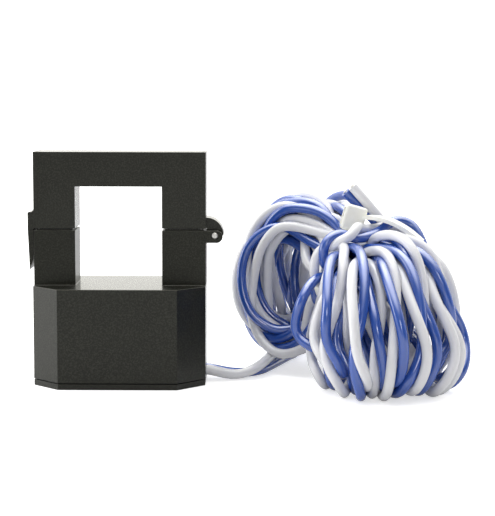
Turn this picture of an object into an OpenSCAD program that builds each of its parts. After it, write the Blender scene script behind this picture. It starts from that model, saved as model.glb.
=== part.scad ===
// Split-core current transformer: a hinged two-part black housing that snaps round a
// conductor, with a coil on the lower core and a twisted pair of leads tied in a hank.
// Millimetres, Z up, X across the legs, Y from front to back. The origin is the centre
// of the base's underside.

/* [Housing] */
// Width across both legs
body_w = 48; // [47:0.5:56]
// Depth of the eight-sided base, front to back
base_d = 33; // [31:0.5:40]
// Height of the base's top, which is the window's floor
base_h = 27.8; // [25:0.1:33]
// Width of each upright corner chamfer, along X
corner_x = 7.6; // [4:0.1:9]
// Depth of each upright corner chamfer, along Y
corner_y = 7.8; // [4:0.1:8.5]
// Wall of both mouldings
wall = 1.3; // [1:0.1:1.5]
// Depth of the legs and of the upper half, front to back
leg_d = 12.5; // [11.5:0.5:14]
// Width of the leg that carries the latch
latch_leg_w = 11.55; // [10.5:0.05:13]
// Width of the leg that carries the hinge
hinge_leg_w = 12.25; // [11.3:0.05:14]
// Outer wall of the hinge leg, thicker for the hinge's pull
hinge_wall = 2.0; // [1.6:0.1:2.6]

/* [Upper half] */
// Height of the middle of the seam between the halves
seam_z = 43.45; // [42:0.05:47]
// Gap between the two mouldings at the seam
seam_gap = 0.6; // [0.4:0.05:1]
// Height of the window
window_h = 27.6; // [26:0.1:34]
// Height of the upper moulding above the window
yoke_h = 9.6; // [9:0.1:12]
// Thickness of the cap let into the top
cap_t = 1.1; // [0.8:0.1:1.5]
// Width of the rim round the cap
cap_rim = 0.7; // [0.5:0.05:0.9]

/* [Base cover] */
// Thickness of the base plate
cover_t = 1.6; // [1.2:0.1:2.2]
// Shadow gap between the plate and the housing
cover_gap = 0.25; // [0.15:0.05:0.4]
// Height of the plate's locating rim
rim_h = 2.2; // [1.5:0.1:3]
// Thickness of the plate's locating rim
rim_t = 1.0; // [0.8:0.1:1.2]

/* [Hinge] */
// Radius of the hinge pin
pin_r = 0.9; // [0.7:0.05:1]
// Distance of the pin's axis from the leg's side
pin_out = 2.45; // [2.4:0.05:3]
// Distance of the pin's axis below the seam
pin_drop = 1.65; // [1.6:0.05:2]
// Radius of the round end of each ear
ear_r = 1.7; // [1.65:0.05:1.9]
// Thickness of each ear
ear_t = 2.2; // [1.6:0.1:2.6]
// Radius of the shoulder where the knuckle meets the upper half
knuckle_r = 4.87; // [4.6:0.01:5.2]

/* [Latch] */
// Thickness of the snap tab, from the leg's side to its outer face
tab_out = 1.8; // [1.5:0.05:2.4]
// Width of the snap tab, front to back
tab_w = 10.5; // [8:0.5:11]
// Reach of the tab above the seam
tab_up = 4.75; // [3.5:0.05:6]
// Reach of the tab below the seam
tab_down = 11.45; // [10.5:0.05:12.5]
// Gap between the tab and the lower leg
tab_gap = 0.25; // [0.2:0.05:0.4]
// Width of the catch that the tab snaps over
catch_w = 5; // [4:0.5:6]

/* [Core and coil] */
// Height of the lower core's yoke, inside the coil
lower_yoke_h = 8.5; // [7:0.1:8.8]
// Thickness of the bobbin's tube
bobbin_t = 0.9; // [0.7:0.05:1]
// Thickness of each bobbin flange
flange_t = 1.0; // [0.8:0.1:1.5]
// Thickness of the tape over the copper
tape_t = 0.25; // [0.1:0.05:0.3]
// Height of the space that the leaf spring fills above the upper core
spring_h = 0.7; // [0.5:0.05:1]
// Thickness of the leaf spring
spring_t = 0.2; // [0.15:0.05:0.3]

/* [Circuit board] */
// Thickness of the circuit board
board_t = 1.0; // [0.8:0.1:1.6]
// Diameter of the burden resistor's body
resistor_d = 2.3; // [1.8:0.1:2.6]
// Diameter of the protection diode's body
diode_d = 1.9; // [1.6:0.1:2.4]

/* [Leads] */
// Outer diameter of each insulated lead
lead_d = 2.8; // [2.4:0.1:2.8]
// Distance between the two leads where they leave the housing
lead_pitch = 3.2; // [3.1:0.05:3.6]

/* [Hidden] */
$fn = 48;

// Named clearances
core_fit = 0.2;      // core in its leg wells
pole_gap = 0.1;      // between the pole faces of the closed core
bobbin_fit = 0.1;    // bobbin on the yoke
bobbin_play = 0.2;   // bobbin between the core's legs
wind_fit = 0.05;     // winding between the flanges
turn_fit = 0.02;     // winding on the tube and under its tape
cap_fit = 0.08;      // cap in its recess
rim_fit = 0.15;      // cover's rim in the housing
coil_room = 0.85;    // bobbin's flanges in the height of the cavity
side_room = 3.1;     // bobbin's flanges in the depth of the cavity
board_fit = 0.1;     // circuit board on its posts, parts on the board
pin_press = 0.01;    // pin in the ears
pin_run = 0.05;      // knuckle on the pin
ear_play = 0.2;      // knuckle between the ears
wall_play = 0.2;     // knuckle and the lower leg's side
hole_fit = 0.03;     // wires and pins in their holes
cut = 1;             // how far a cutting solid runs past a face

// Levels
lower_top = seam_z - seam_gap / 2;
upper_bottom = seam_z + seam_gap / 2;
yoke_under = base_h + window_h;
total_h = yoke_under + yoke_h;
cavity_top = base_h - wall;

// Window sides and core window sides
half_w = body_w / 2;
win_x0 = -half_w + latch_leg_w;
win_x1 = half_w - hinge_leg_w;
core_x0 = -half_w + wall + core_fit;
core_x1 = half_w - hinge_wall - core_fit;
core_win_x0 = win_x0 - wall - core_fit;
core_win_x1 = win_x1 + wall + core_fit;
core_d = leg_d - 2 * wall - 2 * core_fit;

// Coil, centred in the height of the cavity
coil_z = (cover_t + cavity_top) / 2;
tube_y = core_d / 2 + bobbin_fit + bobbin_t;
tube_z = lower_yoke_h / 2 + bobbin_fit + bobbin_t;
flange_lip = 0.5;
rib_t = 1.2;                     // ribs beside the core's legs
rib_in = 3.5;
coil_corner = 4;
flange_y = base_d / 2 - wall - side_room;
flange_z = (cavity_top - cover_t) / 2 - coil_room;
coil_y = flange_y - flange_lip - tape_t;
coil_h = flange_z - flange_lip - tape_t;
bobbin_x0 = core_win_x0 + bobbin_play;
bobbin_x1 = core_win_x1 - bobbin_play;

// Hinge
pin_x = half_w + pin_out;
pin_z = seam_z - pin_drop;
ear_z = lower_top - ear_r;
ear_x = pin_x + 0.5;
ear_y = leg_d / 2 - ear_t;

// Latch
tab_x = -half_w - tab_out;
tab_top = seam_z + tab_up;
tab_tip = seam_z - tab_down;
tip_lead = 3.2;                  // height of the lead-in at the tab's tip
tab_root = 0.7;                  // gusset where the tab meets the upper half
catch_z = pin_z - 3.2;           // the catch's holding edge
catch_out = tab_gap + 0.15;
catch_h = 1.6;
slot_z0 = catch_z - 2.1;
slot_z1 = catch_z + catch_h + 0.8;

// Leads and board
lead_r = lead_d / 2;
lead_z = 3.2;
slot_r = 1.5;                    // round ends of the slot that the leads pass through
slot_w = lead_pitch + 2 * slot_r;
route_wall = 24;                 // where the leads' routes have that wall
leads_x = half_w - route_wall;   // the leads move with the wall that they leave
clamp_x = half_w - 6.4;
clamp_w = 9.6;
clamp_top = lead_z + slot_r + 0.4;
board_z = clamp_top + board_fit;
board_wall = 0.3;                // board inside the walls
board_l = 2 * flange_y - 0.2;    // the board lies under the bobbin's flange
board_x0 = core_win_x1 + 0.8;
board_x1 = half_w - wall - board_wall;
board_x = (board_x0 + board_x1) / 2;
board_top = board_z + board_t;
post_r = 1.2;                    // posts that carry the board
post_y = flange_y - 2.7;
terminal_r = 0.5;
terminal_x = board_x0 + 0.95;
lead_end = terminal_x + 0.8;
part_y = flange_y - 3.5;         // resistor and diode, from the middle of the board
part_reach = 3.6;                // from the middle of such a part to its bent wire
wire_r = 0.3;
bobbin_pin_r = 0.35;
bobbin_pin_y = flange_y - 5.6;
bobbin_pin_l = 1.6;              // how far the bobbin's pins reach over the board

// Routes of the two leads outside the hank
white_route = [
    [lead_end - leads_x, -1.6, 3.2], [20, -1.6, 3.2], [24, -1.6, 3.2], [27, -1.5, 2.6], [30.5, -1, 1.8],
    [34, -0.2, 1.8], [37, 1, 2.7], [39.6, 4.2, 3.8], [41.6, 10, 4.5], [43, 17.5, 4.6],
    [43.9, 25, 4.2], [45.2, 32, 3.6], [47.2, 38, 3], [49.6, 43, 3.2]
];
blue_route = [
    [lead_end - leads_x, 1.6, 3.2], [20, 1.6, 3.2], [24, 1.6, 3.2], [27, 1.7, 2.6], [30.5, 2.3, 1.8],
    [34, 3.2, 1.5], [37, 5, 1.5], [39.6, 8, 1.5], [41.7, 13, 1.5], [43.8, 19, 1.5],
    [46, 25.5, 1.5], [48.2, 32, 1.5], [50.6, 38.5, 1.6], [53, 43, 2.2]
];

// Hank: two lobes and a waist that the tie draws in
waist = [66, 3];
waist_r = 11.45;
waist_z = 30;
waist_turn = -60;                // direction from the left lobe to the right one
waist_l = 30;
left_lobe = [45.5, 26.5];
left_r = 23;
left_thick = 20;
left_turn = 131;                 // direction of the left lobe's length
right_lobe = [74.4, -17.5];
right_r = 21.6;
right_h = 43;
lobe_edge = 6;                   // round upper edge of the right lobe
strap_w = 4.2;
strap_t = 1.2;
strap_fit = 0.05;
tie_head = [6.2, 5, 7.4];
head_at = [-0.6, -0.8];
head_turn = [0, 16, 66];
head_edge = 0.8;
tail_w = 3.6;
tail_turn = 32;
// The tail's drooping line: distance from the head and height over the waist
tail_line = [[0, 17], [5.9, 16.6], [11.2, 15.5], [16.5, 13.1], [22, 9.6]];

// ---- shapes -------------------------------------------------------------------------

// Rectangle with its four corners cut by cx along X and cy along Y
module eight_sided(w, d, cx, cy) {
    x = w / 2;
    y = d / 2;
    polygon([
        [x, -y + cy], [x, y - cy], [x - cx, y], [-x + cx, y],
        [-x, y - cy], [-x, -y + cy], [-x + cx, -y], [x - cx, -y]
    ]);
}

// Chamfers of the same eight-sided outline moved inwards by t on every side
function chamfer_line(t) =
    corner_y * half_w + corner_x * base_d / 2 - corner_x * corner_y
    - t * sqrt(corner_x * corner_x + corner_y * corner_y);
function inner_cx(t) = half_w - t - (chamfer_line(t) - corner_x * (base_d / 2 - t)) / corner_y;
function inner_cy(t) = base_d / 2 - t - (chamfer_line(t) - corner_y * (half_w - t)) / corner_x;

// The base's outline, t inside its outer faces
module base_outline(t) {
    eight_sided(body_w - 2 * t, base_d - 2 * t, inner_cx(t), inner_cy(t));
}

// Box given by its X and Z limits, centred on Y
module block(x0, x1, z0, z1, depth) {
    translate([x0, -depth / 2, z0]) cube([x1 - x0, depth, z1 - z0]);
}

// Side view (X to the right, Z up) made into a solid from y0 to y1
module along_y(y0, y1) {
    translate([0, y1, 0]) rotate([90, 0, 0]) linear_extrude(y1 - y0) children();
}

// Rectangle with round corners, w by h, on the centre
module round_rect(w, h, r) {
    square([w - 2 * r, h], center = true);
    square([w, h - 2 * r], center = true);
    for (x = [-1, 1], y = [-1, 1])
        translate([x * (w / 2 - r), y * (h / 2 - r)]) circle(r);
}

// Outline in the YZ plane made into a solid from x0 to x1
module along_x(x0, x1) {
    translate([x0, 0, 0]) rotate([90, 0, 90]) linear_extrude(x1 - x0) children();
}

// Opening for both leads, side by side
module lead_slot(x0, x1) {
    along_x(x0, x1) translate([0, lead_z]) {
        for (s = [-1, 1]) translate([s * lead_pitch / 2, 0]) circle(slot_r);
        square([lead_pitch, 2 * slot_r], center = true);
    }
}

// ---- lower half ---------------------------------------------------------------------

// Round-ended ear beside the hinge leg
module ear(y0) {
    along_y(y0, y0 + ear_t) {
        translate([half_w - cut, ear_z - ear_r]) square([ear_x - half_w + cut, 2 * ear_r]);
        translate([ear_x, ear_z]) circle(ear_r);
    }
}

// Ramped catch on the latch leg
module catch_ramp() {
    along_y(-catch_w / 2, catch_w / 2) polygon([
        [-half_w + 0.2, catch_z], [-half_w - catch_out, catch_z],
        [-half_w - catch_out, catch_z + 0.4], [-half_w + 0.2, catch_z + catch_h]
    ]);
}

// Upright rib that steadies the core's leg against the base's front or back wall
module core_rib(x, side) {
    rib_y = core_d / 2 + core_fit;
    rib_l = base_d / 2 - wall / 2 - rib_y;
    rib_z = coil_z - lower_yoke_h / 2 + 3;
    translate([x - rib_t / 2, side > 0 ? rib_y : -rib_y - rib_l, rib_z])
        cube([rib_t, rib_l, cavity_top + wall / 2 - rib_z]);
}

module lower_housing() color("#2e302f") difference() {
    union() {
        difference() {
            union() {
                translate([0, 0, cover_t]) linear_extrude(base_h - cover_t) base_outline(0);
                block(-half_w, win_x0, base_h - cut, lower_top, leg_d);
                block(win_x1, half_w, base_h - cut, lower_top, leg_d);
                ear(-leg_d / 2);
                ear(ear_y);
                catch_ramp();
            }
            translate([0, 0, cover_t - cut])
                linear_extrude(cavity_top - cover_t + cut) base_outline(wall);
            translate([0, 0, cover_t - cut]) difference() {
                linear_extrude(cut + cover_gap) base_outline(-cut);
                linear_extrude(cut + cover_gap) base_outline(wall / 2);
            }
        }
        for (x = [core_x0 + rib_in, core_x1 - rib_in], side = [-1, 1])
            intersection() {
                core_rib(x, side);
                translate([0, 0, cover_t]) linear_extrude(base_h - cover_t - wall / 2)
                    base_outline(wall / 2);
            }
    }
    block(-half_w + wall, win_x0 - wall, cavity_top - cut, lower_top + cut, leg_d - 2 * wall);
    block(win_x1 + wall, half_w - hinge_wall, cavity_top - cut, lower_top + cut, leg_d - 2 * wall);
    lead_slot(half_w - wall - cut, half_w + cut);
    block(half_w - wall - cut, half_w + cut, cover_t - cut, lead_z, slot_w);
    translate([pin_x, leg_d / 2 + cut, pin_z]) rotate([90, 0, 0])
        cylinder(r = pin_r + pin_press, h = leg_d + 2 * cut);
}

module base_cover() color("#2a2c2b") {
    linear_extrude(cover_t) base_outline(0.1);
    difference() {
        translate([0, 0, cover_t - 0.2]) linear_extrude(rim_h + 0.2) base_outline(wall + rim_fit);
        translate([0, 0, cover_t]) linear_extrude(rim_h + cut) base_outline(wall + rim_fit + rim_t);
        block(half_w - 2 * wall - rim_t - cut, half_w, cover_t, cover_t + rim_h + cut, clamp_w + 0.8);
    }
    for (side = [-1, 1]) translate([board_x, side * post_y, 0])
        cylinder(r = post_r, h = board_z - board_fit);
}

// One L-shaped stack: a leg and half of the yoke
module core_stack(leg_x0, leg_x1, yoke_x0, yoke_x1) {
    block(leg_x0, leg_x1, coil_z - lower_yoke_h / 2, seam_z - pole_gap / 2, core_d);
    block(yoke_x0, yoke_x1, coil_z - lower_yoke_h / 2, coil_z + lower_yoke_h / 2, core_d);
}

module lower_core_left() color("#6f7275")
    core_stack(core_x0, core_win_x0, core_win_x0 - cut, -0.03);

module lower_core_right() color("#6f7275")
    core_stack(core_win_x1, core_x1, 0.03, core_win_x1 + cut);

module bobbin_pin_place() {
    for (side = [-1, 1])
        translate([bobbin_x1 - flange_t, side * bobbin_pin_y, board_top + board_fit + bobbin_pin_r])
            rotate([0, 90, 0]) children();
}

module bobbin() color("#e8e4d2") difference() {
    union() {
        along_x(bobbin_x0, bobbin_x1) translate([0, coil_z]) square([2 * tube_y, 2 * tube_z], center = true);
        for (x = [bobbin_x0, bobbin_x1 - flange_t])
            along_x(x, x + flange_t) translate([0, coil_z]) round_rect(2 * flange_y, 2 * flange_z, 2);
    }
    along_x(bobbin_x0 - cut, bobbin_x1 + cut) translate([0, coil_z])
        square([core_d + 2 * bobbin_fit, lower_yoke_h + 2 * bobbin_fit], center = true);
    bobbin_pin_place() translate([0, 0, -cut]) cylinder(r = bobbin_pin_r + hole_fit, h = flange_t + 2 * cut);
}

// Length of the bobbin between its flanges, filled by a profile in the YZ plane
module between_flanges() {
    along_x(bobbin_x0 + flange_t + wind_fit, bobbin_x1 - flange_t - wind_fit)
        translate([0, coil_z]) children();
}

module secondary_winding() color("#b4622e") between_flanges() difference() {
    round_rect(2 * coil_y - 2 * turn_fit, 2 * coil_h - 2 * turn_fit, coil_corner);
    square([2 * tube_y + 2 * turn_fit, 2 * tube_z + 2 * turn_fit], center = true);
}

module winding_tape() color("#e3b23c") between_flanges() difference() {
    round_rect(2 * (coil_y + tape_t), 2 * (coil_h + tape_t), coil_corner + tape_t);
    round_rect(2 * coil_y, 2 * coil_h, coil_corner);
}

module bobbin_pins() color("#c9c9c4")
    bobbin_pin_place() cylinder(r = bobbin_pin_r, h = flange_t + board_x0 - bobbin_x1 + bobbin_pin_l);

module circuit_board() color("#2f6b3c") difference() {
    intersection() {
        translate([0, 0, board_z]) linear_extrude(board_t) base_outline(wall + board_wall);
        block(board_x0, board_x1, board_z, board_top, board_l);
    }
    for (side = [-1, 1]) translate([terminal_x, side * lead_pitch / 2, board_z - cut])
        cylinder(r = terminal_r + hole_fit, h = board_t + 2 * cut);
    for (side = [-1, 1], x = [-part_reach, part_reach])
        translate([board_x + x, side * part_y, board_z - cut])
            cylinder(r = wire_r + hole_fit, h = board_t + 2 * cut);
}

// Axial part lying on the board, with its wires bent down through the board
module axial_part(d, body_l, y) {
    axis_z = board_top + board_fit + d / 2;
    translate([board_x, y, axis_z]) rotate([0, 90, 0]) {
        cylinder(d = d, h = body_l, center = true);
        cylinder(r = wire_r, h = 2 * part_reach, center = true);
    }
    for (x = [-part_reach, part_reach]) translate([board_x + x, y, 0]) {
        translate([0, 0, board_z - 0.6]) cylinder(r = wire_r, h = axis_z - board_z + 0.6);
        translate([0, 0, axis_z]) sphere(r = wire_r, $fn = 16);
    }
}

module burden_resistor() color("#7fb2c9") axial_part(resistor_d, 5.6, part_y);

module protection_diode() color("#c8603a") axial_part(diode_d, 3.8, -part_y);

module lead_terminals() color("#c9c9c4")
    for (side = [-1, 1]) translate([terminal_x, side * lead_pitch / 2, cover_t + 0.4])
        cylinder(r = terminal_r, h = board_top + 0.6 - cover_t - 0.4);

module lead_clamp() color("#1f2021") difference() {
    block(clamp_x, half_w - wall - 0.1, cover_t + 0.05, clamp_top, clamp_w);
    lead_slot(clamp_x - cut, half_w);
}

module hinge_pin() color("#cfd2d4")
    translate([pin_x, leg_d / 2 - 0.05, pin_z]) rotate([90, 0, 0]) rotate_extrude() {
        l = leg_d - 0.1;
        polygon([[0, 0], [pin_r - 0.2, 0], [pin_r, 0.2], [pin_r, l - 0.2], [pin_r - 0.2, l], [0, l]]);
    }

// ---- leads --------------------------------------------------------------------------

function unit(v) = v / norm(v);
function direction(p, i) = unit(p[min(i + 1, len(p) - 1)] - p[max(i - 1, 0)]);
function ring_point(p, i, k) =
    let (t = direction(p, i), s = unit(cross(t, [0, 0, 1])), u = cross(s, t))
    p[i] + lead_r * (cos(45 * k) * s + sin(45 * k) * u);

// Eight-sided tube swept along the points p
module swept_tube(p) {
    n = len(p);
    polyhedron(
        points = [for (i = [0:n - 1], k = [0:7]) ring_point(p, i, k)],
        faces = concat(
            [[for (k = [0:7]) k]],
            [for (i = [0:n - 2], k = [0:7])
                [i * 8 + k, (i + 1) * 8 + k, (i + 1) * 8 + (k + 1) % 8, i * 8 + (k + 1) % 8]],
            [[for (k = [7:-1:0]) (n - 1) * 8 + k]]
        )
    );
}

module white_lead() color("#e2e2e6") translate([leads_x, 0, 0]) swept_tube(white_route);

module blue_lead() color("#3f5cb4") translate([leads_x, 0, 0]) swept_tube(blue_route);

// Children in the waist's frame: X along the hank, Z up
module at_waist() {
    translate([leads_x + waist[0], waist[1], waist_z]) rotate([0, 0, waist_turn]) children();
}

// Drum with a round upper edge
module drum(r, h, edge) rotate_extrude() {
    square([r, h - edge]);
    square([r - edge, h]);
    translate([r - edge, h - edge]) circle(edge);
}

module lead_hank() color("#8f9fc9") {
    difference() {
        translate([leads_x, 0, 0]) {
            translate([left_lobe[0], left_lobe[1], left_r + strap_fit]) rotate([90, 0, left_turn])
                cylinder(r = left_r, h = left_thick, center = true);
            translate([right_lobe[0], right_lobe[1], strap_fit]) drum(right_r, right_h, lobe_edge);
        }
        at_waist() cube([strap_w + 0.6, 4 * waist_r, 5 * waist_r], center = true);
        at_waist() tie_block(strap_fit);
        at_waist() tie_tail(strap_fit);
    }
    at_waist() rotate([0, 90, 0]) cylinder(r = waist_r, h = waist_l, center = true);
}

// The tie's head, grown by g on every side, with cut corners
module tie_block(g) {
    size = tie_head + 2 * [g, g, g];
    translate([head_at[0], head_at[1], waist_r + strap_fit + tie_head[2] / 2 + strap_t / 2])
        rotate(head_turn) intersection() {
            linear_extrude(size[2], center = true)
                eight_sided(size[0], size[1], head_edge, head_edge);
            rotate([90, 0, 0]) linear_extrude(size[1], center = true)
                eight_sided(size[0], size[2], head_edge, head_edge);
        }
}

// The strap's drooping free end, grown by g
module tie_tail(g) {
    last = len(tail_line) - 1;
    rise = [0, strap_t / 2 + g];
    translate([head_at[0], head_at[1], 0]) rotate([0, 0, tail_turn]) along_y(-tail_w / 2 - g, tail_w / 2 + g)
        polygon(concat(
            [for (i = [0:last]) tail_line[i] - rise],
            [for (i = [last:-1:0]) tail_line[i] + rise]
        ));
}

module cable_tie() color("#ecece2") at_waist() {
    inner = waist_r + strap_fit;
    rotate([0, 90, 0]) difference() {
        cylinder(r = inner + strap_t, h = strap_w, center = true);
        cylinder(r = inner, h = strap_w + 2 * cut, center = true);
    }
    tie_block(0);
    tie_tail(0);
}

// ---- upper half ---------------------------------------------------------------------

module knuckle() {
    w = ear_y - ear_play;
    along_y(-w, w) {
        intersection() {
            translate([half_w, pin_z]) circle(knuckle_r);
            union() {
                translate([half_w - 0.2, upper_bottom]) square(2 * knuckle_r);
                translate([half_w + wall_play, pin_z]) square(2 * knuckle_r);
            }
        }
        translate([pin_x, pin_z]) circle(pin_out - wall_play - 0.05);
    }
}

module snap_tab() {
    face = -half_w - tab_gap;
    difference() {
        along_y(-tab_w / 2, tab_w / 2) polygon([
            [-half_w + 0.2, tab_top + tab_root], [-half_w, tab_top + tab_root],
            [-half_w - tab_root, tab_top], [tab_x + 0.25, tab_top], [tab_x, tab_top - 0.25],
            [tab_x, seam_z], [tab_x + 0.5, tab_tip], [face, tab_tip + tip_lead],
            [face, upper_bottom], [-half_w + 0.2, upper_bottom]
        ]);
        block(tab_x - cut, face + cut / 5, slot_z0, slot_z1, catch_w + 0.6);
    }
}

module upper_shell() color("#2e302f") difference() {
    union() {
        difference() {
            block(-half_w, half_w, upper_bottom, total_h, leg_d);
            block(win_x0, win_x1, upper_bottom - cut, yoke_under, leg_d + 2 * cut);
        }
        knuckle();
        snap_tab();
    }
    block(-half_w + wall, half_w - hinge_wall, yoke_under + wall, total_h - cap_t + 0.01, leg_d - 2 * wall);
    block(-half_w + wall, win_x0 - wall, upper_bottom - cut, yoke_under + 2 * wall, leg_d - 2 * wall);
    block(win_x1 + wall, half_w - hinge_wall, upper_bottom - cut, yoke_under + 2 * wall, leg_d - 2 * wall);
    block(-half_w + cap_rim, half_w - cap_rim, total_h - cap_t, total_h + cut, leg_d - 2 * cap_rim);
    translate([pin_x, leg_d / 2, pin_z]) rotate([90, 0, 0])
        cylinder(r = pin_r + pin_run, h = leg_d);
}

module top_cap() color("#2a2c2b")
    block(-half_w + cap_rim + cap_fit, half_w - cap_rim - cap_fit, total_h - cap_t + 0.02,
        total_h - 0.03, leg_d - 2 * cap_rim - 2 * cap_fit);

core_top = total_h - cap_t - spring_h;

module upper_core() color("#6f7275") {
    core_under = yoke_under + wall + core_fit;
    block(core_x0, core_x1, core_under, core_top, core_d);
    block(core_x0, core_win_x0, seam_z + pole_gap / 2, core_under + cut, core_d);
    block(core_win_x1, core_x1, seam_z + pole_gap / 2, core_under + cut, core_d);
}

// Bowed leaf: its middle rests on the core and its ends press up on the cap
module core_spring() color("#b9bcbe") {
    half = (core_win_x1 - core_win_x0) / 2 + 1.4;
    steps = 8;
    rise = spring_h - spring_t - 0.08;
    bow = [for (i = [-steps:steps]) [half * i / steps, core_top + 0.03 + rise * pow(i / steps, 2)]];
    top = [for (i = [2 * steps:-1:0]) bow[i] + [0, spring_t]];
    along_y(-3, 3) polygon(concat(bow, top));
}

lower_housing();
base_cover();
lower_core_left();
lower_core_right();
bobbin();
secondary_winding();
winding_tape();
bobbin_pins();
circuit_board();
burden_resistor();
protection_diode();
lead_terminals();
lead_clamp();
hinge_pin();
white_lead();
blue_lead();
lead_hank();
cable_tie();
upper_shell();
top_cap();
upper_core();
core_spring();
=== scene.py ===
# %% [markdown]
# # Split-core current transformer
# A black moulded housing in two halves snaps round a conductor. Two leads leave its base,
# twist together and end in a hank that a cable tie draws in at its waist. The solids come
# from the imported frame. This script gives them their finish, and makes the soft pieces,
# the wires, at their real length.

import math

import bmesh
import bpy
import numpy as np
from mathutils import Matrix, Vector


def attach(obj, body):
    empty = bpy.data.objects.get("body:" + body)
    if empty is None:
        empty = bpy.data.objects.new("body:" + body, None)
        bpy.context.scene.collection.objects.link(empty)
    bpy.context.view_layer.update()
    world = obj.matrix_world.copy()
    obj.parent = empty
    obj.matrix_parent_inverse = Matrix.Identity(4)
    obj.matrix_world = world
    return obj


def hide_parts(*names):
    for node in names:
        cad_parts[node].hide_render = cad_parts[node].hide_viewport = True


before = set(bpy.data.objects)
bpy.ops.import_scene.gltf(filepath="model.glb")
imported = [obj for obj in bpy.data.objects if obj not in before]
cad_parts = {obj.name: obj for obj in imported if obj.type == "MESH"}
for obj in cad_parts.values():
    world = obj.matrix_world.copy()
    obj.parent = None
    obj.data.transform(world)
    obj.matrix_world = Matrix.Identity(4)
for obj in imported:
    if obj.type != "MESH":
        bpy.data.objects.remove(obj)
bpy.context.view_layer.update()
MM = 0.001
LOWER, UPPER = "lower_half", "upper_half"

# %% [markdown]
# ## The camera
# It stands low and far in front, so that the upright edges stay nearly parallel. A long
# lens does that, as it does in a maker's product pictures. Its place, lens and angles were
# fitted to the housing's corners in the photograph. The view is turned step by step: first
# tipped up from looking at the floor, then turned a little to the side.

# %% Camera
camera = bpy.data.objects.new("camera", bpy.data.cameras.new("camera"))
bpy.context.scene.collection.objects.link(camera)
bpy.context.scene.camera = camera
camera.data.lens = 106.5
camera.data.sensor_width = 36.0
camera.data.clip_start = 0.01
look_down, turn, tilt = math.radians(6.11), math.radians(0.23), math.radians(0.16)
camera.matrix_world = (
    Matrix.Translation((0.0373, -0.4295, 0.0809))
    @ Matrix.Rotation(turn, 4, "Z")
    @ Matrix.Rotation(math.pi / 2 - look_down, 4, "X")
    @ Matrix.Rotation(tilt, 4, "Z")
)
bpy.context.scene.view_settings.view_transform = "Standard"
print("camera", [round(v, 4) for v in camera.matrix_world.translation])

# %% [markdown]
# ## Shader maths
# A finish is a small sum of patterns. Written as node links, such a sum is hard to read,
# so one class wraps a socket and lets it be added and multiplied as a number is. Each
# operator adds one Math node. Every other node comes from the method `node`.


# %% Sockets that can be added and multiplied
class Wire:
    """One output socket, or a plain number, in a material's node tree."""

    def __init__(self, tree, socket):
        self.tree, self.socket = tree, socket

    def maths(self, operation, other=None, clamp=False):
        values = {i: v for i, v in enumerate((self, other)) if v is not None}
        return self.tree.node("ShaderNodeMath", values, operation=operation, use_clamp=clamp)

    def __add__(self, other):
        return self.maths("ADD", other)

    def __mul__(self, other):
        return self.maths("MULTIPLY", other)

    def __sub__(self, other):
        return self.maths("SUBTRACT", other)

    def __rsub__(self, other):
        return (self * -1.0) + other

    __radd__, __rmul__ = __add__, __mul__

    def between(self, low, high):
        """0 at low, 1 at high, and a straight ramp between."""
        return ((self - low) * (1.0 / (high - low))).maths("ADD", 0.0, clamp=True)


class Tree:
    """The nodes of one material, floor or world."""

    def __init__(self, owner):
        owner.use_nodes = True
        self.nodes, self.links = owner.node_tree.nodes, owner.node_tree.links

    def set(self, socket, value):
        if isinstance(value, Wire):
            self.links.new(value.socket, socket)
        else:
            socket.default_value = value

    def node(self, kind, values=None, out=0, **settings):
        """Makes a node, applies its settings, fills its sockets and gives one output."""
        made = self.nodes.new(kind)
        for name, value in settings.items():
            setattr(made, name, value)
        for name, value in (values or {}).items():
            self.set(made.inputs[name], value)
        return Wire(self, made.outputs[out])

    def mix(self, share, first, second):
        """A colour between two colours."""
        return self.node("ShaderNodeMix", {0: share, 6: first, 7: second}, 2, data_type="RGBA")

    def place(self):
        return self.node("ShaderNodeTexCoord", out="Object")

    def noise(self, size, detail=2.0, rough=0.5, at=None):
        """Soft noise whose blobs are about `size` metres across."""
        values = {"Vector": at or self.place(), "Scale": 1.0 / size, "Detail": detail, "Roughness": rough}
        return self.node("ShaderNodeTexNoise", values)

    def bump(self, height, strength, depth):
        return self.node("ShaderNodeBump", {"Strength": strength, "Distance": depth, "Height": height})


def finish_of(name, colour, rough, **extra):
    """A new material. Gives it, its tree and its shader's inputs."""
    made = bpy.data.materials.new(name)
    tree = Tree(made)
    shader = made.node_tree.nodes["Principled BSDF"].inputs
    tree.set(shader["Base Color"], colour)
    shader["Roughness"].default_value = rough
    for socket, value in extra.items():
        shader[socket.replace("_", " ")].default_value = value
    return made, tree, shader


# %% [markdown]
# ## Black moulding
# The housing is glass-filled polycarbonate with a spark-eroded face: a fine, even grain
# that scatters light, so the black reads as a soft charcoal with tiny lighter specks. The
# grain is two noises, one for the pits and one for the specks, in object space, so that it
# has the same size on every wall. The coat is halved on the legs below the seam, which is
# painted shade. That has no cause in the material: it was fitted to the photograph's darker
# tone there.

# %% Moulding finish
black_moulding, tree, shader = finish_of(
    "black_moulding", (0.02, 0.022, 0.02, 1), 0.5,
    Coat_Roughness=0.14, Coat_IOR=1.25, Specular_IOR_Level=0.2, Specular_Tint=(1.0, 1.0, 0.85, 1))
grain = tree.noise(0.24 * MM, 3.0, 0.6)
specks = tree.noise(0.42 * MM, 2.0, 0.7).between(0.45, 0.62)
cloud = tree.noise(9 * MM, 2.0)
tree.set(shader["Base Color"], tree.mix(
    specks * 0.85 + cloud.between(0.3, 0.7) * 0.15,
    (0.0002, 0.0004, 0.0001, 1), (0.0120, 0.0128, 0.0092, 1)))
tree.set(shader["Roughness"], grain.between(0.2, 0.8) * 0.14 + 0.38)
tree.set(shader["Normal"], tree.bump(grain, 0.1, 0.02 * MM))
height = tree.node("ShaderNodeSeparateXYZ", {0: tree.place()}, "Z")
# painted shade: the legs below the seam get half the coat, so they read darker there
painted_shade_lower_legs = height.between(27.9 * MM, 28.1 * MM) * (1.0 - height.between(43.3 * MM, 43.4 * MM))
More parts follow.
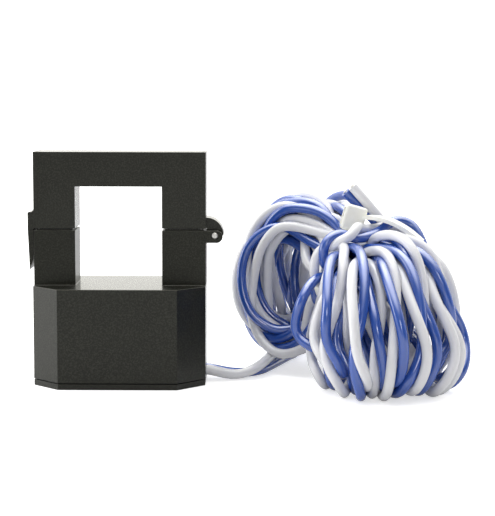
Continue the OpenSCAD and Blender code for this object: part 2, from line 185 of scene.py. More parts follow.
tree.set(shader["Coat Weight"], (specks * 0.16 + 0.68) * (1.0 - painted_shade_lower_legs * 0.5))
print("finish", black_moulding.name)

# %% [markdown]
# ## Lead insulation
# Soft PVC is extruded, so it is smooth and half glossy, with a long faint ripple from the
# die and a little dust. White and blue share one recipe but not one shine: the two
# specular levels were fitted to the photograph in this light, not to the plastic.


# %% Insulation finishes
def pvc(name, colour, deep, shine):
    made, tree, shader = finish_of(name, colour, 0.2, Specular_IOR_Level=shine)
    ripple = tree.noise(9 * MM, 1.0)
    dust = tree.noise(0.5 * MM, 2.0, 0.6)
    tree.set(shader["Base Color"], tree.mix(ripple.between(0.3, 0.7) * 0.35, colour, deep))
    tree.set(shader["Roughness"], dust.between(0.4, 0.8) * 0.06 + 0.18)
    tree.set(shader["Normal"], tree.bump(ripple + dust * 0.006, 0.15, 0.1 * MM))
    return made


white_pvc = pvc("white_pvc", (0.76, 0.76, 0.78, 1), (0.70, 0.70, 0.73, 1), 0.28)
blue_pvc = pvc("blue_pvc", (0.021, 0.082, 0.390, 1), (0.016, 0.066, 0.330, 1), 1.0)
print("finishes", white_pvc.name, blue_pvc.name)

# %% [markdown]
# ## Nylon, steel, copper and the rest
# The tie is unfilled nylon, milky and slightly yellow. The small metal parts differ only in
# colour, in roughness and in the direction of their tool marks.

# %% Tie finish
natural_nylon, tree, shader = finish_of("natural_nylon", (0.86, 0.855, 0.79, 1), 0.36)
haze = tree.noise(1.6 * MM, 3.0)
tree.set(shader["Base Color"], tree.mix(
    haze.between(0.35, 0.7), (0.90, 0.895, 0.83, 1), (0.87, 0.86, 0.78, 1)))
tree.set(shader["Roughness"], haze.between(0.3, 0.7) * 0.12 + 0.3)
tree.set(shader["Normal"], tree.bump(tree.noise(0.4 * MM), 0.15, 0.04 * MM))


# %% Metals
def metal(name, colour, rough, marks, stretch=(1.0, 1.0, 1.0), metallic=1.0):
    """Metal with fine marks, `marks` metres apart, drawn out along one axis by `stretch`."""
    made, tree, shader = finish_of(name, colour, rough, Metallic=metallic)
    along = tree.node("ShaderNodeMapping", {"Vector": tree.place(), "Scale": stretch})
    lines = tree.noise(marks, 3.0, 0.6, at=along)
    dark = tuple(c * 0.72 for c in colour[:3]) + (1,)
    tree.set(shader["Base Color"], tree.mix(lines.between(0.3, 0.75), colour, dark))
    tree.set(shader["Roughness"], lines.between(0.2, 0.8) * 0.2 + (rough - 0.1))
    tree.set(shader["Normal"], tree.bump(lines, 0.2, 0.02 * MM))
    return made


pin_steel = metal("pin_steel", (0.52, 0.51, 0.49, 1), 0.3, 0.15 * MM, (1, 0.1, 1))
core_steel = metal("core_steel", (0.10, 0.10, 0.105, 1), 0.5, 0.3 * MM, (0.08, 1, 0.08))
spring_steel = metal("spring_steel", (0.62, 0.60, 0.55, 1), 0.3, 0.2 * MM, (0.1, 1, 1))
tinned_brass = metal("tinned_brass", (0.72, 0.71, 0.67, 1), 0.34, 0.25 * MM)
bare_copper = metal("bare_copper", (0.80, 0.46, 0.30, 1), 0.36, 0.1 * MM)
enamelled_copper = metal("enamelled_copper", (0.50, 0.17, 0.06, 1), 0.3, 0.2 * MM, (1, 0.15, 0.15), 0.75)


# %% Plastics and lacquers inside
def plain_plastic(name, colour, other, rough, size):
    """A moulded or lacquered finish with soft patches `size` metres across."""
    made, tree, shader = finish_of(name, colour, rough)
    patches = tree.noise(size, 3.0)
    tree.set(shader["Base Color"], tree.mix(patches.between(0.35, 0.7), colour, other))
    tree.set(shader["Roughness"], patches.between(0.3, 0.7) * 0.12 + rough)
    tree.set(shader["Normal"], tree.bump(patches, 0.15, 0.03 * MM))
    return made


inner_finish = {
    "bobbin": plain_plastic("bobbin_nylon", (0.62, 0.60, 0.52, 1), (0.56, 0.54, 0.45, 1), 0.4, 0.8 * MM),
    "winding_tape": plain_plastic(
        "polyester_tape", (0.78, 0.55, 0.10, 1), (0.72, 0.48, 0.07, 1), 0.22, 3 * MM),
    "circuit_board": plain_plastic(
        "board_laminate", (0.05, 0.22, 0.07, 1), (0.04, 0.17, 0.06, 1), 0.3, 0.5 * MM),
    "burden_resistor": plain_plastic(
        "resistor_lacquer", (0.30, 0.50, 0.62, 1), (0.26, 0.44, 0.56, 1), 0.3, 0.6 * MM),
    "protection_diode": plain_plastic(
        "diode_glass", (0.42, 0.12, 0.05, 1), (0.36, 0.09, 0.04, 1), 0.12, 0.6 * MM),
    "lower_core_left": core_steel,
    "lower_core_right": core_steel,
    "upper_core": core_steel,
    "core_spring": spring_steel,
    "secondary_winding": enamelled_copper,
    "bobbin_pins": tinned_brass,
    "lead_terminals": tinned_brass,
    "lead_clamp": black_moulding,
}
for node, material in inner_finish.items():
    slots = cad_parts[node].data.materials
    slots.clear()
    slots.append(material)
print("inner finishes", len(inner_finish))

# %% [markdown]
# ## The leads
# Each lead is one wire of fixed length: it leaves the housing by the slot in the hinge
# side, drops to the floor, and runs back to the hank. The points of that first run are
# listed, as they are in the solids.

# %% Routes of the two leads
WIRE = 2.8 * MM
WHITE_ROUTE = [
    (0.0158, -0.0016, 0.0032), (0.020, -0.0016, 0.0032), (0.024, -0.0016, 0.0032),
    (0.027, -0.0015, 0.0026), (0.0305, -0.001, 0.0018), (0.034, -0.0002, 0.0018),
    (0.037, 0.001, 0.0027), (0.0396, 0.0042, 0.0038), (0.0416, 0.010, 0.0045),
    (0.043, 0.0175, 0.0046), (0.0439, 0.025, 0.0042), (0.0452, 0.032, 0.0036),
    (0.0472, 0.038, 0.003), (0.0496, 0.043, 0.0032),
]
BLUE_ROUTE = [
    (0.0158, 0.0016, 0.0032), (0.020, 0.0016, 0.0032), (0.024, 0.0016, 0.0032),
    (0.027, 0.0017, 0.0026), (0.0305, 0.0023, 0.0018), (0.034, 0.0032, 0.0015),
    (0.037, 0.005, 0.0015), (0.0396, 0.008, 0.0015), (0.0417, 0.013, 0.0015),
    (0.0438, 0.019, 0.0015), (0.046, 0.0255, 0.0015), (0.0482, 0.032, 0.0015),
    (0.0506, 0.0385, 0.0016), (0.053, 0.043, 0.0022),
]


def even_steps(line, step):
    """The same line with its points an even step apart."""
    gone = np.concatenate([[0], np.cumsum(np.linalg.norm(np.diff(line, axis=0), axis=1))])
    at = np.linspace(0, gone[-1], int(math.ceil(gone[-1] / step)) + 1)
    return np.stack([np.interp(at, gone, line[:, k]) for k in range(3)], 1)


def length_of(line):
    return float(np.linalg.norm(np.diff(line, axis=0), axis=1).sum())


def smooth_line(points, step, parts=24):
    """A smooth curve through the points, cut into even steps."""
    points = np.asarray(points, float)
    time = np.concatenate([[0], np.cumsum(np.sqrt(np.linalg.norm(np.diff(points, axis=0), axis=1)))])
    gap = np.diff(time)[:, None]
    rise = np.diff(points, axis=0) / gap
    slope = np.zeros_like(points)
    slope[1:-1] = (rise[1:] * gap[:-1] + rise[:-1] * gap[1:]) / (gap[1:] + gap[:-1])
    slope[0], slope[-1] = rise[0], rise[-1]
    u = np.linspace(0, 1, parts, endpoint=False)[:, None]
    blend = 2 * u**3 - 3 * u**2 + 1, u**3 - 2 * u**2 + u, 3 * u**2 - 2 * u**3, u**3 - u**2
    pieces = [
        blend[0] * points[i] + blend[1] * gap[i] * slope[i]
        + blend[2] * points[i + 1] + blend[3] * gap[i] * slope[i + 1]
        for i in range(len(points) - 1)
    ]
    return even_steps(np.concatenate([*pieces, points[-1:]]), step)


print("first runs", round(length_of(np.array(WHITE_ROUTE)), 4), round(length_of(np.array(BLUE_ROUTE)), 4))

# %% [markdown]
# ## The hank
# The pair is wound as a maker's hand winds it: through the waist, round the lobe on the
# right, back under the waist and round the lobe on the left, fourteen times. Each turn
# takes another direction, so that the lobes open like the ribs of a pumpkin. A turn is given
# by the direction and reach of its right and left lobes and by its rise over the waist.
#
# Don't copy how TURNS was made. Its rows weren't chosen by hand or worked out here: another
# program varied hand-set rows at random and kept the set that scored best. A loop should work
# them out. The arc over the tie and the way to the cut ends (WRAP, END, WHITE_SIDE) were
# traced from the photograph at guessed depths and rounded.

# %% The turns
WAIST = np.array([66.0, 3.0, 30.0]) * MM
WAIST_R = 11.4 * MM
HANK_TURN = math.radians(-60)
STEP = 2.2 * MM
# degrees right, reach in millimetres, rise, degrees left, reach in millimetres
TURNS = [
    (-83, 37, -1, 126, 40), (-103, 28, -5, 142, 34), (-52, 36, 2, 125, 46), (-100, 34, 1, 137, 36),
    (-38, 31, 1, 133, 40), (-68, 39, 1, 154, 32), (-114, 25, -3, 144, 37), (-62, 37, 4, 116, 46),
    (-91, 40, 1, 142, 34), (-50, 35, 0, 119, 44), (-78, 40, 1, 148, 34), (-94, 28, -1, 116, 37),
    (-43, 30, 1, 112, 28), (-64, 28, -3, 124, 28),
]
LAST_LEFT = (104, 45)
WRAP = [(57.5, 3, 17), (56.8, -4, 24.5), (57.4, -8, 31), (57.2, -10.6, 36), (59.6, -11.4, 39.2),
        (63.8, -10.5, 41.1), (67.9, -7.5, 42.3), (71, -3.5, 43.2), (74.7, 0.5, 45.2), (78.2, 2.5, 47.3),
        (81.7, 3.5, 47.4), (84, 2, 43), (85.6, 0, 36), (88, -5, 23), (89.5, -8, 10)]
END = [(86.5, -6, 2.5), (82, 2, 6), (79.5, 8, 15), (79.5, 10.5, 27), (78.5, 10.8, 36), (75, 10.2, 42.5),
       (70, 9.2, 48.3), (64.6, 8.4, 53.9)]
# where along the way out the white wire lies, seen from the pair's middle
WHITE_SIDE = [(2, (-1, 0, 0)), (3, (-0.4, 1, 0)), (4, (0.7, 0.3, -0.7)), (5, (0.2, -1, -0.6)),
              (6, (-0.4, -0.4, 1)), (7, (-0.3, 0.8, 0.8)), (10, (0, 0.2, -1)),
              (-2, (0.4, -0.8, 0.4)), (-1, (0.5, -0.4, 0.5))]
TWISTS = 56.25
GOLDEN_ANGLE = 137.508
LOWEST_RIGHT, FLOOR_REACH = -80, 38  # the direction and reach that right lobes draw to at the floor


def from_waist(degrees, reach, height):
    """A point `reach` millimetres from the waist's middle, `height` over the floor."""
    a = math.radians(degrees)
    return np.array([WAIST[0] + reach * MM * math.cos(a), WAIST[1] + reach * MM * math.sin(a), height * MM])


def waist_places(turns):
    """Places of the pairs over the waist's section: a sunflower's spiral, upper half first."""
    i = np.arange(2 * len(turns))
    reach, angle = 2.1 * MM * np.sqrt(i + 0.5), i * math.radians(GOLDEN_ANGLE)
    spots = np.stack([reach * np.cos(angle), reach * np.sin(angle)], 1)
    spots = spots[np.argsort(-spots[:, 1])]
    halves = spots[: len(turns)], spots[len(turns):]
    return [half[np.argsort(half[:, 0])] for half in halves]


def pair_line(turns, last):
    """Points of the twisted pair's middle line, from the end of the first run to its last left lobe."""
    chance = np.random.default_rng(4)
    all_turns = [*turns, (0, 0, 0, *last)]
    over, under = waist_places(all_turns)
    order = np.argsort(np.argsort([t[0] for t in all_turns]))
    across = np.array([-math.sin(HANK_TURN), math.cos(HANK_TURN), 0])
    up = np.array([0, 0, 1])
    line = [(np.array(w) + np.array(b)) / 2 for w, b in zip(WHITE_ROUTE[-2:], BLUE_ROUTE[-2:])]
    line += [np.array(p) * MM for p in [(50.5, 50, 4), (45.5, 54, 7)]]
    for k, (right, far_right, rise, left, far_left) in enumerate(all_turns):
        lift = chance.uniform(-2.5, 3)
        if k > 0:
            line.append(from_waist(left, far_left * 0.40, 10 + chance.uniform(0, 6)))
            line.append(from_waist(left, far_left * 0.72, 8 + chance.uniform(0, 4)))
        over_the_left = (0.94, 16), (1, 27), (0.91, 39 + lift * 0.5), (0.67, 46 + lift), (0.34, 44 + lift)
        for share, height in over_the_left:
            line.append(from_waist(left, far_left * share, height))
        if k == len(turns):
            break
        place = over[order[k]]
        line.append(WAIST + across * place[0] + up * place[1])
        for share, height in ((0.38, 37 + rise), (0.72, 35 + rise), (0.94, 25), (1.02, 13)):
            line.append(from_waist(right, far_right * share, height))
        low = LOWEST_RIGHT + (right - LOWEST_RIGHT) * 0.62
        far_low = 0.4 * far_right + 0.6 * FLOOR_REACH
        line.append(from_waist(low, far_low, 3.4))
        line.append(from_waist(low, far_low * 0.8, 1.6))
        line.append(from_waist(low, far_low * 0.57, 7 + chance.uniform(0, 3)))
        line.append(from_waist(right, far_right * 0.3, 14 + chance.uniform(0, 4)))
        place = under[(order[k] * 5 + 2) % len(all_turns)]
        line.append(WAIST + across * place[0] + up * place[1])
    return line


way_out = [np.array(p) * MM for p in [*WRAP, *END]]
pair = smooth_line([*pair_line(TURNS, LAST_LEFT), *way_out], STEP)
print("pair", round(length_of(pair), 3), "m in", len(pair), "points")

# %% [markdown]
# ## Twisting and settling
# The two wires run round the pair's middle line, half a turn apart. Where turns cross they
# would pass through each other, so the wires are then settled: in each round every wire is
# pushed off its neighbours towards a full diameter between their middles, bends relax a
# little, and every step is drawn back to its length. The rounds end before all overlaps are
# gone, most of all in the waist. Wires are kept off the floor, the tie's ring and head, and
# the space that the opened upper half needs.


# %% Twist
def twist(line, apart):
    """Two lines that wind round one, with `apart` between them."""
    along = np.gradient(line, axis=0)
    along /= np.linalg.norm(along, axis=1)[:, None]
    side = np.zeros_like(line)
    side[0] = np.cross(along[0], (0, 0, 1))
    for i in range(len(line)):
        before = side[max(i - 1, 0)]
        side[i] = before - along[i] * (before @ along[i])
        side[i] /= np.linalg.norm(side[i])
    other = np.cross(along, side)
    turned = 0.5 - TWISTS * np.arange(len(line)) / len(line)
    begin = len(line) - int(length_of(smooth_line(way_out, STEP)) / STEP)
    seats, turns = [0, begin], [turned[0], turned[begin]]
    for number, want in WHITE_SIDE:
        seat = begin + int(np.argmin(np.linalg.norm(line[begin:] - way_out[number], axis=1)))
        exact = math.atan2(np.dot(want, other[seat]), np.dot(want, side[seat])) / (2 * math.pi)
        due = turns[-1] - TWISTS * (seat - seats[-1]) / len(line) if len(seats) == 2 else turns[-1] - 0.25
        seats.append(seat)
        turns.append(exact + round(due - exact))
    angle = 2 * math.pi * np.interp(np.arange(len(line)), seats, turns)[:, None]
    off = (side * np.cos(angle) + other * np.sin(angle)) * apart / 2
    print("turns of the twist", [round(t, 2) for t in turns])
    return line + off, line - off


def joined(route, wound):
    """The first run and the wound part of one wire, as one line of even steps."""
    run = smooth_line([*route[:-1], *wound[1:4]], STEP)
    first = int(np.argmin(np.linalg.norm(run - wound[2], axis=1)))
    return even_steps(np.concatenate([run[:first], wound[2:]]), STEP)


# %% Settle
def near_pairs(points, wire, reach):
    """Pairs of points within reach of each other that aren't close along one wire."""
    found = []
    order = np.arange(len(points))
    for start in range(0, len(points), 400):
        apart = points[start:start + 400, None, :] - points[None, :, :]
        a, b = np.nonzero((apart * apart).sum(2) < reach * reach)
        a = a + start
        far = (b > a) & ((wire[a] != wire[b]) | (np.abs(order[a] - order[b]) > 4))
        found.append(np.stack([a[far], b[far]], 1))
    return np.concatenate(found)


def summed(where, moves, count):
    return np.stack([np.bincount(where, moves[:, k], count) for k in range(3)], 1)


MOST_BOW = STEP**2 / (2 * 2.2 * WIRE)  # how far a point may stand off its neighbours' middle
TIE_HEAD = WAIST + np.array([0, -1.0, 17.0]) * MM
HEAD_REACH = 5.2 * MM
TIE_HALF_WIDTH = 2.9 * MM
TIE_REACH = 20 * MM
OVER_TIE = WAIST_R + 3 * MM
LEAST_HEIGHT = WIRE / 2 + 5e-5
SINK = 4e-6  # metres that a point falls in a round
SWING_X, SWING_Y, SWING_Z, SWING_LEAN = 53.2 * MM, 8.2 * MM, 37 * MM, 0.18


def no_longer(moves, most):
    """The same moves, none longer than `most`."""
    size = np.linalg.norm(moves, axis=1)
    return moves * np.minimum(1, most / np.maximum(size, 1e-12))[:, None]


def settle(wires, held, loose, rounds):
    """Pushes wires that cut into each other apart.

    The first `held` points and the cut ends stay put. The last `loose` points lie outside the tie.
    """
    x = np.concatenate(wires)
    n = len(x)
    starts = np.cumsum([0] + [len(w) for w in wires])
    wire = np.repeat(np.arange(len(wires)), [len(w) for w in wires])
    left = np.concatenate([np.arange(a, b - 1) for a, b in zip(starts[:-1], starts[1:])])
    middle = np.concatenate([np.arange(a + 1, b - 1) for a, b in zip(starts[:-1], starts[1:])])
    rest = np.linalg.norm(x[left + 1] - x[left], axis=1)
    bow = no_longer(0.5 * (x[middle - 1] + x[middle + 1]) - x[middle], 0.8 * MOST_BOW)
    free = np.ones(n)
    for start, stay in zip(starts, held):
        free[start:start + stay] = 0
    outside = np.zeros(n, bool)
    for end in starts[1:]:
        free[end - 8:end] = 0
        outside[end - loose:end] = True
    axis = np.array([math.cos(HANK_TURN), math.sin(HANK_TURN), 0])

    def keep_steps():
        step = x[left + 1] - x[left]
        now = np.linalg.norm(step, axis=1)
        both = np.maximum(free[left] + free[left + 1], 1e-9)
        pull = step * (0.5 * (now - rest) / now / both)[:, None]
        back = summed(left + 1, pull * free[left + 1][:, None], n)
        x[:] += summed(left, pull * free[left][:, None], n) - back

    for turn_no in range(rounds):
        if turn_no % 8 == 0:
            pairs = near_pairs(x, wire, 1.8 * WIRE)
        a, b = pairs.T
        apart = x[a] - x[b]
        gap = np.linalg.norm(apart, axis=1) + 1e-12
        cut = gap < WIRE
        a, b = a[cut], b[cut]
        push = apart[cut] * (0.54 * (WIRE / gap[cut] - 1))[:, None]
        many = np.maximum(1, np.bincount(a, minlength=n) + np.bincount(b, minlength=n))
        x += (summed(a, push, n) - summed(b, push, n)) * (free / many)[:, None]
        bent = 0.5 * (x[middle - 1] + x[middle + 1]) - x[middle] - bow
        x[middle] += bent * 0.5 * free[middle][:, None]
        bent = 0.5 * (x[middle - 1] + x[middle + 1]) - x[middle]
        x[middle] += (bent - no_longer(bent, MOST_BOW)) * 0.9 * free[middle][:, None]
        x[:, 2] -= SINK * free
        for _ in range(3):
            keep_steps()
        x[:, 2] = np.where(free > 0, np.maximum(x[:, 2], LEAST_HEIGHT), x[:, 2])
        along = (x - WAIST) @ axis
        out = (x - WAIST) - along[:, None] * axis
        far = np.linalg.norm(out, axis=1)
        near_tie = (np.abs(along) < TIE_HALF_WIDTH) & (free > 0)
        inner_edge = WAIST_R - WIRE / 2
        for where, edge in ((near_tie & ~outside & (far > inner_edge) & (far < TIE_REACH), inner_edge),
                            (near_tie & outside & (far < OVER_TIE), OVER_TIE)):
            x[where] -= (out * (1 - edge / np.maximum(far, 1e-9))[:, None] * 0.5)[where]
        off = x - TIE_HEAD
        far = np.linalg.norm(off, axis=1)
        at_head = far < HEAD_REACH
        x[at_head] += off[at_head] * (HEAD_REACH / far[at_head] - 1)[:, None] * 0.5
        beside = x[:, 0] < SWING_X + SWING_LEAN * (x[:, 2] - 40 * MM)
        swung = beside & (x[:, 2] > SWING_Z) & (np.abs(x[:, 1]) < SWING_Y)
        x[swung, 1] += (SWING_Y - x[swung, 1]) * 0.5
    for _ in range(4):
        keep_steps()
        bent = 0.5 * (x[middle - 1] + x[middle + 1]) - x[middle]
        x[middle] += ((bent - bow) * 0.3 + (bent - no_longer(bent, MOST_BOW)) * 0.5) * free[middle][:, None]
        x[:, 2] = np.where(free > 0, np.maximum(x[:, 2], LEAST_HEIGHT), x[:, 2])
    return [x[a:b] for a, b in zip(starts[:-1], starts[1:])]


wound = twist(pair, 1.04 * WIRE)
runs = [joined(WHITE_ROUTE, wound[0]), joined(BLUE_ROUTE, wound[1])]
held = [int(np.argmin(np.linalg.norm(r - w[2], axis=1))) + 1 for r, w in zip(runs, wound)]
loose = int(length_of(smooth_line(way_out, STEP)) / STEP) - 4
SETTLING_ROUNDS = 330
white_line, blue_line = settle(runs, held, loose, SETTLING_ROUNDS)
print("wires", round(length_of(white_line), 3), round(length_of(blue_line), 3))
both_lines = np.concatenate([white_line, blue_line])
print("hank from", both_lines.min(0).round(4), "to", both_lines.max(0).round(4))


# %% Wires as tubes
def link(made):
    bpy.context.scene.collection.objects.link(made)
    return made


def wire_piece(name, line, material, node):
    curve = bpy.data.curves.new(name, "CURVE")
    curve.dimensions = "3D"
    curve.bevel_depth = WIRE / 2
    curve.bevel_resolution = 4
    curve.use_fill_caps = True
    spline = curve.splines.new("POLY")
    fine = smooth_line(line, 1.1 * MM, 4)
    spline.points.add(len(fine) - 1)
    spline.points.foreach_set("co", np.c_[fine, np.ones(len(fine))].ravel())
    curve.materials.append(material)
    made = link(bpy.data.objects.new(name, curve))
    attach(made, LOWER)
    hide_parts(*node)
    return made


white_wire = wire_piece("white_wire", white_line, white_pvc, ["white_lead", "lead_hank"])
blue_wire = wire_piece("blue_wire", blue_line, blue_pvc, ["blue_lead"])


# %% [markdown]
# ## Cut ends
# The leads are cut square and not stripped. What shows in each end is the conductor: fine
# tinned copper strands in rings of six and twelve round one, just proud of the cut.


# %% Conductor ends
def new_piece(name, shape, material, body):
    """Turns a bmesh into a finished piece that rides on a body."""
    mesh = bpy.data.meshes.new(name)
    shape.to_mesh(mesh)
    shape.free()
    mesh.materials.append(material)
    made = link(bpy.data.objects.new(name, mesh))
    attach(made, body)
    return made


def strand_places(pitch):
    yield 0.0, 0.0
    for ring, count in ((1, 6), (2, 12)):
        for i in range(count):
            a = 2 * math.pi * i / count
            yield ring * pitch * math.cos(a), ring * pitch * math.sin(a)


def conductor_end(name, line):
    tip, heading = Vector(line[-1]), Vector(line[-1] - line[-3]).normalized()
    turn_to = heading.to_track_quat("Z", "Y").to_matrix().to_4x4()
    shape = bmesh.new()
    for x, y in strand_places(0.24 * MM):
        place = Matrix.Translation(tip) @ turn_to @ Matrix.Translation((x, y, -0.3 * MM))
        bmesh.ops.create_cone(shape, cap_ends=True, segments=8, radius1=0.12 * MM, radius2=0.11 * MM,
                              depth=1.2 * MM, matrix=place)
    return new_piece(name, shape, tinned_brass, LOWER)


white_end = conductor_end("white_conductor", white_line)
blue_end = conductor_end("blue_conductor", blue_line)

# %% [markdown]
# ## The cable tie
# A tie is one nylon moulding: a flat strap with fine teeth, and a head with a pawl. The
# ring is a spun profile, the head a block that is bevelled and hollowed where the strap
# passes, and the tail a strip that droops over the hank.


# %% Tie
def tie_place(x, y, z):
    """The waist's frame: X along the hank, Y across it, Z up."""
    middle_of_waist = Matrix.Translation(Vector(WAIST))
    return middle_of_waist @ Matrix.Rotation(HANK_TURN, 4, "Z") @ Matrix.Translation((x, y, z))


STRAP_W, STRAP_T = 4.2 * MM, 1.2 * MM
shape = bmesh.new()
made = bmesh.ops.create_grid(shape, x_segments=1, y_segments=1, size=0.5)
bmesh.ops.scale(shape, vec=(STRAP_W, STRAP_T, 1), verts=shape.verts)
bmesh.ops.bevel(shape, geom=shape.verts[:], offset=0.3 * MM, segments=3, profile=0.5,
                affect="VERTICES", material=-1)
bmesh.ops.translate(shape, vec=(0, WAIST_R + 0.1 * MM + STRAP_T / 2, 0), verts=shape.verts)
bmesh.ops.spin(shape, geom=shape.verts[:] + shape.edges[:] + shape.faces[:], cent=(0, 0, 0), axis=(1, 0, 0),
               angle=2 * math.pi, steps=96, use_merge=True)
bmesh.ops.remove_doubles(shape, verts=shape.verts, dist=1e-6)
inner = [f for f in shape.faces if abs(f.normal.x) > 0.99 and len(f.verts) > 6]
bmesh.ops.delete(shape, geom=inner, context="FACES_ONLY")
bmesh.ops.recalc_face_normals(shape, faces=shape.faces)
bmesh.ops.transform(shape, matrix=tie_place(0, 0, 0), verts=shape.verts)
strap = new_piece("tie_strap", shape, natural_nylon, LOWER)
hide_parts("cable_tie")
print("strap", len(strap.data.polygons), "faces")

shape = bmesh.new()
bmesh.ops.create_cube(shape, size=1.0)
bmesh.ops.scale(shape, vec=(6.2 * MM, 5.0 * MM, 7.4 * MM), verts=shape.verts)
bmesh.ops.bevel(shape, geom=shape.edges[:], offset=0.8 * MM, segments=4, profile=0.5,
                affect="EDGES", material=-1)
for side in (-1, 1):
    face = max(shape.faces, key=lambda f: f.calc_area() * (f.normal.x * side > 0.99))
    bmesh.ops.inset_region(shape, faces=[face], thickness=0.6 * MM)
    moved = bmesh.ops.extrude_face_region(shape, geom=[face])
    bmesh.ops.delete(shape, geom=[face], context="FACES_ONLY")
    verts = [v for v in moved["geom"] if isinstance(v, bmesh.types.BMVert)]
    bmesh.ops.translate(shape, vec=(-side * 0.8 * MM, 0, 0), verts=verts)
bmesh.ops.transform(shape, verts=shape.verts, matrix=tie_place(-0.6 * MM, -0.1 * MM, WAIST_R + 4.6 * MM)
                    @ Matrix.Rotation(math.radians(66), 4, "Z") @ Matrix.Rotation(math.radians(16), 4, "Y"))
head = new_piece("tie_head", shape, natural_nylon, LOWER)


def strip(name, points, width, thick, tip):
    """A flat strap along a smooth line, its width level across the line."""
    line = smooth_line(points, 0.5 * MM)
    shape = bmesh.new()
    bmesh.ops.create_grid(shape, x_segments=len(line) - 1, y_segments=3, size=0.5)
    for v in shape.verts:
        i = round((v.co.x + 0.5) * (len(line) - 1))
        ahead = Vector(line[min(i + 1, len(line) - 1)] - line[max(i - 1, 0)]).normalized()
        level = ahead.cross(Vector((0, 0, 1))).normalized()
        narrow = 1 - 0.45 * max(0, 1 - (len(line) - 1 - i) * 0.5 * MM / tip) ** 2
        v.co = Vector(line[i]) + level * v.co.y * width * narrow
    bmesh.ops.recalc_face_normals(shape, faces=shape.faces)
    bmesh.ops.solidify(shape, geom=shape.faces[:], thickness=thick)
    return new_piece(name, shape, natural_nylon, LOWER)


tail = strip("tie_tail", [np.array(p) * MM for p in [
    (67.4, 3.9, 45.7), (71.3, 0.7, 45.9), (75.4, -2.6, 45.2), (79.2, -5, 43.4), (83.8, -7.2, 40)]],
    3.6 * MM, 1.1 * MM, 4 * MM)
print("tie", [o.name for o in (strap, head, tail)])

# %% [markdown]
# ## Mouldings
# The solids are right in every size, but their edges are razor sharp. A real mould has a
# small radius on each edge, and that radius is what catches the light. So each moulding is
# a welded copy of its solid with flat faces joined up, and a bevel that rounds the edges.


# %% Rounded copies of the solids
SHARP_EDGE = 28  # degrees between two faces from which their edge is rounded


def rounded(node, name, radius, material, body):
    shape = bmesh.new()
    shape.from_mesh(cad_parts[node].data)
    bmesh.ops.remove_doubles(shape, verts=shape.verts, dist=2e-6)
    bmesh.ops.dissolve_limit(shape, angle_limit=math.radians(0.8), verts=shape.verts, edges=shape.edges)
    made = new_piece(name, shape, material, body)
    made.data.materials.clear()
    made.data.materials.append(material)
    bevel = made.modifiers.new("round edges", "BEVEL")
    bevel.width, bevel.segments = radius, 3
    bevel.limit_method, bevel.angle_limit = "ANGLE", math.radians(SHARP_EDGE)
    even = made.modifiers.new("even shading", "WEIGHTED_NORMAL")
    even.mode, even.weight, even.keep_sharp = "FACE_AREA", 90, False
    for face in made.data.polygons:
        face.use_smooth = True
    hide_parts(node)
    return made


mouldings = [
    rounded("lower_housing", "housing_lower", 0.22 * MM, black_moulding, LOWER),
    rounded("base_cover", "housing_base", 0.18 * MM, black_moulding, LOWER),
    rounded("upper_shell", "housing_upper", 0.22 * MM, black_moulding, UPPER),
    rounded("top_cap", "housing_cap", 0.12 * MM, black_moulding, UPPER),
    rounded("hinge_pin", "pin", 0.3 * MM, pin_steel, LOWER),
]


# %% Lips in the seam
def seam_lip(name, x0, x1):
    """A low wall round the top of a leg, which reaches into the seam and keeps light and dust out."""
    shape = bmesh.new()
    for inset in (0.75 * MM, 1.15 * MM):
        for z in (SEAM_LOW - 0.4 * MM, SEAM_LOW + 0.38 * MM):
            corners = [(x0 + inset, -LEG_DEPTH / 2 + inset), (x1 - inset, -LEG_DEPTH / 2 + inset),
                       (x1 - inset, LEG_DEPTH / 2 - inset), (x0 + inset, LEG_DEPTH / 2 - inset)]
            for x, y in corners:
                shape.verts.new((x, y, z))
    shape.verts.ensure_lookup_table()
    outer_low, outer_high, inner_low, inner_high = (shape.verts[i:i + 4] for i in (0, 4, 8, 12))
    for k in range(4):
        n = (k + 1) % 4
        shape.faces.new((outer_low[k], outer_low[n], outer_high[n], outer_high[k]))
        shape.faces.new((outer_high[k], outer_high[n], inner_high[n], inner_high[k]))
        shape.faces.new((inner_high[k], inner_high[n], inner_low[n], inner_low[k]))
        shape.faces.new((inner_low[k], inner_low[n], outer_low[n], outer_low[k]))
    return new_piece(name, shape, black_moulding, LOWER)


SEAM_LOW, LEG_DEPTH = 43.15 * MM, 12.5 * MM
lips = [seam_lip("seam_lip_latch", -24 * MM, -12.45 * MM), seam_lip("seam_lip_hinge", 11.75 * MM, 24 * MM)]
print("lips", [o.name for o in lips])
print("mouldings", [(o.name, len(o.data.polygons)) for o in mouldings])

# %% [markdown]
# ## Floor and light
# The part stands on a pale sheet under a wide soft lamp, with a panel at the left, a small
# lamp in front and a bright wall behind it. The wall is the world's own colour: brighter
# behind the part than in front of it. The ceiling is seen by reflections alone and is far
# brighter than the rest, so the sheen on tops and wires holds for this light only.

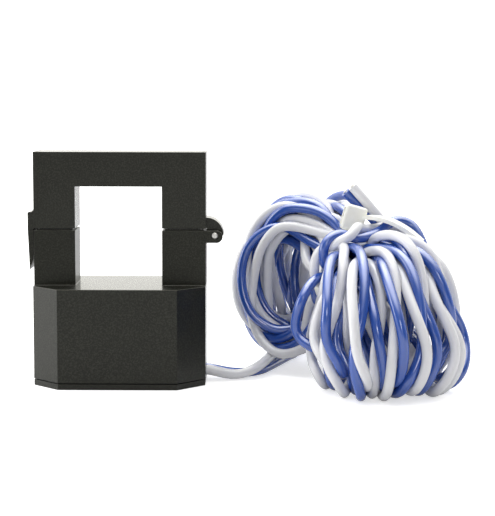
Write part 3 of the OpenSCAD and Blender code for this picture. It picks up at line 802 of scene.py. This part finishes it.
# %% Floor
floor_shape = bmesh.new()
bmesh.ops.create_grid(floor_shape, x_segments=1, y_segments=1, size=6.0)
floor_mesh = bpy.data.meshes.new("floor")
floor_shape.to_mesh(floor_mesh)
floor_shape.free()
floor = link(bpy.data.objects.new("floor", floor_mesh))
floor_paint, tree, shader = finish_of("floor_paint", (0.72, 0.72, 0.72, 1), 0.9)
seen = tree.node("ShaderNodeLightPath", out="Is Camera Ray")
shiny = tree.node("ShaderNodeLightPath", out="Is Glossy Ray")
shown = (seen + shiny * 0.5).maths("MINIMUM", 1.0)
tree.set(shader["Emission Color"], tree.mix(shown, (0, 0, 0, 1), (1, 1, 1, 1)))
shader["Emission Strength"].default_value = 0.6
floor_mesh.materials.append(floor_paint)

# %% World and lamps
world = bpy.data.worlds.new("studio")
bpy.context.scene.world = world
tree = Tree(world)
way = tree.node("ShaderNodeTexCoord", out="Generated")
across = tree.node("ShaderNodeSeparateXYZ", {0: way}, "X")
deep = tree.node("ShaderNodeSeparateXYZ", {0: way}, "Y")
behind = deep.between(-0.3, 0.6)
leftward = (across * -1.0).between(-0.2, 0.9)
seen = tree.node("ShaderNodeLightPath", out="Is Camera Ray")
up = tree.node("ShaderNodeSeparateXYZ", {0: way}, "Z")
above = up.between(0.1, 1.0)
ceiling = up.between(0.55, 0.85)
shiny = tree.node("ShaderNodeLightPath", out="Is Glossy Ray")
CEILING_IN_REFLECTIONS = 5.8
level = behind * 1.45 + leftward * 0.2 + above * 0.5 + ceiling * shiny * CEILING_IN_REFLECTIONS + 0.11
level = level.maths("MAXIMUM", seen)
background = world.node_tree.nodes["Background"]
tree.set(background.inputs["Color"], tree.mix(shiny, (1, 1, 1, 1), (1, 0.99, 0.93, 1)))
tree.set(background.inputs["Strength"], level)


def lamp(name, place, aim, size, power):
    light = bpy.data.lights.new(name, "AREA")
    light.size, light.energy = size, power
    made = link(bpy.data.objects.new(name, light))
    made.matrix_world = Matrix.Translation(place) @ (
        Vector(place) - Vector(aim)).to_track_quat("Z", "Y").to_matrix().to_4x4()
    return made


middle = (0.035, 0.0, 0.03)
lamp("softbox_above", (-0.05, 0.05, 0.75), middle, 0.5, 2.3)
lamp("panel_left", (-0.8, -0.05, 0.18), middle, 0.5, 4.2)
lamp("front_lamp", (0.16, -0.95, 0.30), middle, 0.13, 1.2)

# %% Last update
bpy.context.view_layer.update()
